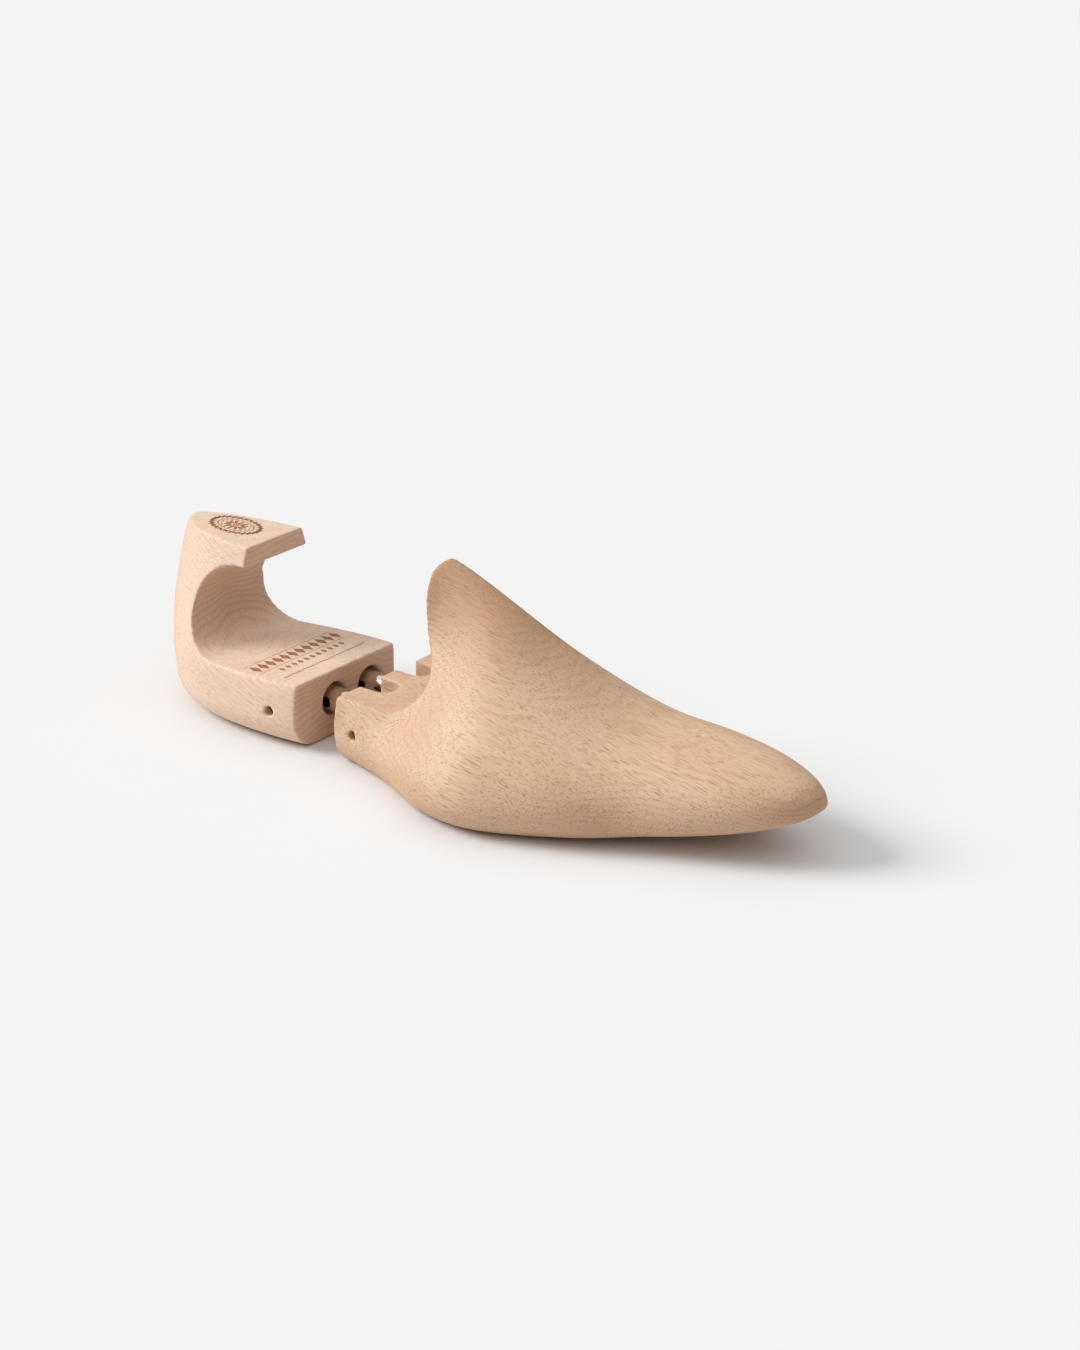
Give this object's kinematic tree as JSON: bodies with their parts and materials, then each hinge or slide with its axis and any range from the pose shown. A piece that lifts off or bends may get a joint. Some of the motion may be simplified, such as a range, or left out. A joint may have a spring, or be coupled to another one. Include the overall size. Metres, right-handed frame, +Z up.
{
  "type": "shoe tree",
  "caption": "Lasted wooden shoe tree: scooped heel block sprung on steel tubes that hinge up out of a solid forepart with a finger hook.",
  "frame": {"origin": "on the sole plane, directly under the fold pin and midway between the two tubes", "axes": "+X to the toe along the tubes, +Y to the inner (big toe) side, +Z up"},
  "size_m": [0.2874, 0.0921, 0.0765],
  "materials": {
    "beech": "bare, finely sanded",
    "nickel": "polished nickel plate",
    "pin_steel": "drawn steel, browned",
    "spring_steel": "oiled spring wire",
    "nylon": "natural nylon"
  },
  "bodies": {
    "forepart": {"forepart": "beech", "fold_pin": "pin_steel"},
    "tubes": {"tube_right": "nickel", "tube_left": "nickel", "eye_plug_right": "nylon", "eye_plug_left": "nylon", "guide_plug_right": "nylon", "guide_plug_left": "nylon"},
    "heel": {"heel_block": "beech", "heel_cross_pin": "pin_steel", "spring_right": "spring_steel", "spring_left": "spring_steel", "spring_seat_right": "pin_steel", "spring_seat_left": "pin_steel"}
  },
  "joints": [
    {"name": "fold", "type": "hinge", "parent": "forepart", "child": "tubes", "pos_m": [0, 0, 0.0144], "axis": [0, 1, 0], "range_deg": [0, 60]},
    {"name": "compress", "type": "slide", "parent": "tubes", "child": "heel", "axis": [1, 0, 0], "range_m": [0, 0.0115], "stiffness_N_per_m": 1200, "springref_m": -0.004, "deforming": ["spring_right", "spring_left"]}
  ]
}
